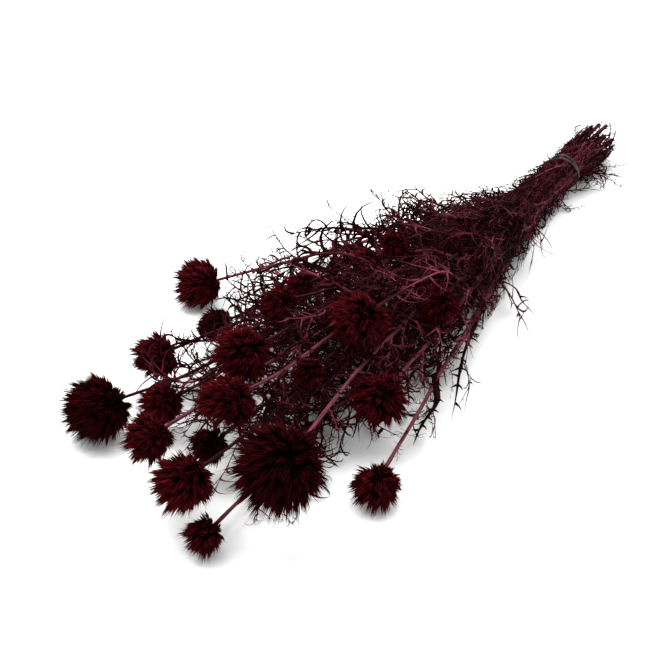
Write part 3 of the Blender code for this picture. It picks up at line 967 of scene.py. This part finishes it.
def sheath(kinds):
    """Old leaves that lie lengthwise on the bundle, from its cut end to a little past the band."""
    bm = bmesh.new()
    low = cad_box[0].x
    for k in range(SHEATH_STRIPS):
        over = k < OVER_BAND
        size = rng.uniform(0.4, 0.85)
        if over:
            x = BAND[0] - rng.uniform(0.3, 0.7) * LEAF_LENGTH * size
        else:
            x = rng.uniform(low - 6 * MM, BAND[0] + (60 if k % 3 else -30) * MM)
        run = x + np.linspace(0, LEAF_LENGTH * size, 9)
        angle = rng.uniform(-0.9, math.pi + 0.9) + rng.normal(0, 0.5) * np.linspace(-1, 1, 9)
        proud = rng.uniform(2.5, 4.0) * MM if over else rng.uniform(-1, 2.5) * MM
        middle = BUNCH.middle_at(run)
        wide = np.interp(run, BUNCH.x, (BUNCH.right - BUNCH.left) / 2) + proud
        high = np.interp(run, BUNCH.x, BUNCH.top - BUNCH.middle[1]) + proud + 1 * MM
        depth = rng.uniform(0.35, 1.0) if k % 4 == 1 else 1.0
        ripple = depth + 0.10 * np.sin(np.linspace(0, rng.uniform(4, 9), 9) + rng.uniform(0, TURN))
        round_it = np.stack([0 * run, wide * ripple * np.cos(angle), high * ripple * np.sin(angle)], axis=1)
        face = unit(np.array([0, math.cos(angle[4]), math.sin(angle[4])]) + rng.normal(0, 0.25, 3))
        template = kinds[rng.integers(len(kinds))]
        laid = curled(template, size, middle + round_it, face, rng.uniform(-0.5, 0.1), 0.32)
        if x < low + 25 * MM:  # at the cut end all the others take the dark look, painted shade
            look = pick_look(rng.uniform(), LIT_DUSTY_END_STRIPS, LIT_DUSTY_END_STRIPS)
        else:
            look = pick_look(rng.uniform(), LIT_DUSTY_STRIPS, 1.0)
        lay_leaf(bm, template, laid, look, tied=not over)
    piece("leaf_sheath", bm, LEAF_LOOKS, "leaf")


def stray_leaves(kinds):
    """Dry leaves that stick out of the bundle round the band, swept back towards the cut ends."""
    bm = bmesh.new()
    for k in range(STRAY_LEAVES):
        low_side = k % 3 > 0
        x = BAND[0] + rng.uniform(-50, 45) * MM
        angle = rng.uniform(-0.9, 0.3) if low_side else rng.uniform(1.7, 2.6)
        out = np.array([0, math.cos(angle), math.sin(angle)])
        base = BUNCH.middle_at(x) + 14 * MM * out
        heading = unit(np.array([rng.uniform(-1.6, -0.3), 0, 0]) + out)
        size = rng.uniform(0.26, 0.46) if low_side else rng.uniform(0.14, 0.24)
        pull = np.array([-0.7, 0, -0.5]) + rng.normal(0, 0.4, 3)
        spine = leaf_spine(base, heading, pull, LEAF_LENGTH * size, 1.2)
        face = unit(np.cross(heading, (0.0, 0.0, 1.0)) + rng.normal(0, 0.8, 3))
        template = kinds[rng.integers(len(kinds))]
        laid = curled(template, size, spine, face, rng.uniform(-0.4, 0.4), 0.9)
        # they all take the dark look: painted shade for the leaves that stick out of the bundle
        lay_leaf(bm, template, laid, SHADED, tied=False)
    piece("stray_leaves", bm, LEAF_LOOKS, "leaf")


def low_leaves(kinds):
    """Leaves that lie low in the bunch, under the stalks, in the deep and dark looks: the dark one is painted shade
    under the stalks.
    """
    bm = bmesh.new()
    for _ in range(LOW_LEAVES):
        x = rng.uniform(*LOW_REACH)
        left, right, top = (np.interp(x, BUNCH.x, edge) for edge in (BUNCH.left, BUNCH.right, BUNCH.top))
        base = np.array([x, rng.uniform(left + 12 * MM, right - 12 * MM), rng.uniform(0.1, 0.55) * top])
        angle = rng.uniform(-1.3, 1.3)
        heading = np.array([math.cos(angle), math.sin(angle), rng.uniform(-0.2, 0.4)])
        size = rng.uniform(0.55, 0.95)
        spine = leaf_spine(base, unit(heading), rng.normal(0, 0.5, 3), LEAF_LENGTH * size, 1.2)
        face = unit(np.array([0, 0, 1]) + rng.normal(0, 0.5, 3))
        template = kinds[rng.integers(len(kinds))]
        laid = keep_in(BUNCH.hold(curled(template, size, spine, face, rng.uniform(-0.3, 0.3), 0.9)))
        add_copy(bm, template, points=laid, shift=rng.uniform(0, LEAF_COLUMNS), look=rng.choice([DEEP, SHADED]))
    piece("low_leaves", bm, LEAF_LOOKS, "leaf")


def prickly_leaves():
    """The leaves of PRICKLY: a flat tapering blade each, with short spikes to both sides."""
    whole = bmesh.new()
    for leaf in PRICKLY:
        line = smooth_line(np.array(leaf.points), 6)
        ahead, side, over = axes_along(line)
        line = line + side * (2 * MM * np.sin(np.linspace(0, 9, len(line)) + rng.uniform(0, TURN)))[:, None]
        widths = leaf.half_width * np.linspace(1, 0, len(line)) ** 0.7 * rng.uniform(0.7, 1.1, len(line))
        bm = strand_mesh()
        strand(bm, line, widths, 0.4 * widths, 4, v=(0.2, 1.0))
        for k in range(leaf.spikes):
            near = int((0.04 + 0.88 * (k + rng.uniform(0, 0.8)) / leaf.spikes) * (len(line) - 1))
            hand = 1 if k % 2 else -1
            way = unit(rng.uniform(0.1, 1.1) * ahead[near] + hand * side[near] + rng.uniform(-0.3, 0.6) * over[near])
            reach = rng.uniform(5, 10) * MM
            bend = rng.uniform(0.1, 0.4) * reach * ahead[near]
            spike = line[near] + np.array([0 * way, 0.5 * reach * way, reach * way + bend])
            strand(bm, spike, SPIKE_WIDTHS, SPIKE_HEIGHTS, 3, v=(0.5, 1.0))
        blade = mesh_of(bm, "prickly_blade", 0.05)
        lay_leaf(whole, blade, points_of(blade), leaf.look)
    piece("prickly_leaves", whole, LEAF_LOOKS, "leaf")


def placed_leaves():
    """The leaves of PLACED, each with a rib and lobes of its own thickness."""
    bm = bmesh.new()
    for k, leaf in enumerate(PLACED):
        spine = smooth_line(np.array(leaf.points), 5)
        template = leaf_template(LEAF_KINDS + k, leaf.thick)
        size = distances_along(spine)[-1] / LEAF_LENGTH
        laid = curled(template, size, spine, np.array([0.3, 0.2, 1.0]), 0.0, leaf.spread)
        lay_leaf(bm, template, laid, LIT_DUSTY)
    piece("placed_leaves", bm, LEAF_LOOKS, "leaf")


# ---- the rubber band ----


def rubber_band():
    """Two turns of a flat rubber band round the bundle. They lie together on one side and part on the other."""
    half_width, half_thickness = BAND_SECTION
    radius = (BAND_HIGH - BAND_LOW).max() / 2 - BAND_INSET
    bm = bmesh.new()
    for turn_number, parting in enumerate(BAND_PARTING):
        section = bmesh.ops.create_circle(bm, cap_ends=False, segments=8, radius=1.0)["verts"]
        for vert in section:
            out = vert.co.y * half_thickness + radius + 0.5 * MM * turn_number
            vert.co = Vector((vert.co.x * half_width, 0, out))
        edges = [edge for edge in bm.edges if all(vert in section for vert in edge.verts)]
        bmesh.ops.spin(
            bm, geom=section + edges, cent=(0, 0, 0), axis=(1, 0, 0), angle=TURN, steps=72, use_merge=True
        )
        for vert in bm.verts:
            if vert.tag:  # it belongs to the turn before
                continue
            vert.tag = True
            angle = math.atan2(vert.co.z, vert.co.y)
            wobble = 1 + 0.018 * math.sin(5 * angle + turn_number) + 0.012 * math.sin(9 * angle)
            vert.co.y *= wobble
            vert.co.z *= wobble
            part = 1 - math.cos(angle - math.radians(-20))
            vert.co.x += parting * part + 0.3 * MM * math.sin(3 * angle)
    # spin() numbers its points and faces differently from run to run.
    bm.verts.sort(key=lambda vert: vert.co.dot(BAND_ORDER))
    bm.edges.sort(key=lambda edge: (edge.verts[0].co + edge.verts[1].co).dot(BAND_ORDER))
    bm.faces.sort(key=lambda face: face.calc_center_median().dot(BAND_ORDER))
    bmesh.ops.translate(bm, verts=bm.verts, vec=BAND)
    bmesh.ops.recalc_face_normals(bm, faces=bm.faces)
    piece("tie_band", bm, [RUBBER], "rubber_band", "rubber_band")


# ---- the set ----


def look_at(obj, place, aim):
    obj.location = place
    obj.rotation_mode = "QUATERNION"
    obj.rotation_quaternion = (Vector(aim) - Vector(place)).to_track_quat("-Z", "Y")


def camera():
    data = bpy.data.cameras.new("camera")
    data.lens, data.sensor_width = CAMERA_LENS, CAMERA_SENSOR
    made = bpy.data.objects.new("camera", data)
    bpy.context.scene.collection.objects.link(made)
    azimuth, elevation = math.radians(CAMERA_AZIMUTH), math.radians(CAMERA_ELEVATION)
    back = Vector(
        (
            math.sin(azimuth) * math.cos(elevation),
            -math.cos(azimuth) * math.cos(elevation),
            math.sin(elevation),
        )
    )
    look_at(made, Vector(CAMERA_AIM) + back * CAMERA_DISTANCE, CAMERA_AIM)
    bpy.context.scene.camera = made


def softbox(name, place, size, power):
    data = bpy.data.lights.new(name, "AREA")
    data.shape, data.size, data.energy = "DISK", size, power
    made = bpy.data.objects.new(name, data)
    bpy.context.scene.collection.objects.link(made)
    look_at(made, place, (0, 0, 0.05))


def studio():
    """A pale table and plain soft light from above."""
    bm = bmesh.new()
    bmesh.ops.create_grid(bm, x_segments=1, y_segments=1, size=TABLE_HALF)
    mesh = bpy.data.meshes.new("table")
    bm.to_mesh(mesh)
    bm.free()
    look = bpy.data.materials.new("pale_table")
    look.use_nodes = True
    shader = look.node_tree.nodes["Principled BSDF"]
    shader.inputs["Base Color"].default_value = TABLE_COLOUR
    shader.inputs["Roughness"].default_value = 0.9
    mesh.materials.append(look)
    table = bpy.data.objects.new("table", mesh)
    bpy.context.scene.collection.objects.link(table)
    world = bpy.data.worlds.new("studio")
    world.use_nodes = True
    world.node_tree.nodes["Background"].inputs["Color"].default_value = (1.0, 1.0, 1.0, 1.0)
    world.node_tree.nodes["Background"].inputs["Strength"].default_value = 1.0
    bpy.context.scene.world = world
    softbox("overhead_light", (0.0, 0.0, 2.0), 2.4, 44.0)
    softbox("key_light", (0.5, -0.7, 1.6), 0.8, 15.0)
    bpy.context.scene.view_settings.view_transform = "Standard"


STEMS = [centreline(f"stem_{k:02d}") for k in range(1, HEAD_COUNT + 1)]
LINES = [smooth_line(middles, 5) for middles, _ in STEMS]
HEADS = [ball(f"flower_head_{k:02d}") for k in range(1, HEAD_COUNT + 1)]
BAND_LOW, BAND_HIGH = (np.array(corner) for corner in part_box("rubber_band"))
BAND = (BAND_LOW + BAND_HIGH) / 2
BAND_INSIDE = (BAND_HIGH - BAND_LOW).max() / 2 - BAND_GRIP
BUNCH = Outline([line for number, line in enumerate(LINES, 1) if number != LONE_STALK])
LONE = Outline([LINES[LONE_STALK - 1]])


def main():
    camera()
    studio()
    tufts = [tuft_mesh(k) for k in range(TUFT_KINDS)]
    kinds = [leaf_template(k) for k in range(LEAF_KINDS)]
    for number, ((middles, radii), line) in enumerate(zip(STEMS, LINES), 1):
        neck = line[-1]
        flower_head(number, neck, tufts)
        into = neck + (HEADS[number - 1][0] - neck) * INTO_HEAD
        slim = LIT_DUSTY_SLIM if number in LIT_DUSTY_STALKS else SHADED_SLIM
        widths = slim * np.interp(distances_along(line), distances_along(middles), radii)
        first = rng.integers(2)  # some stalks are cut a little shorter
        stalk(number, np.vstack([line, into])[first:], np.append(widths, widths[-1])[first:])
        foliage(number, line, kinds)
    for number in range(1, LARGE_LEAVES + 1):
        big_leaf(number, kinds)
    sheath(kinds)
    stray_leaves(kinds)
    low_leaves(kinds)
    placed_leaves()
    prickly_leaves()
    rubber_band()


main()
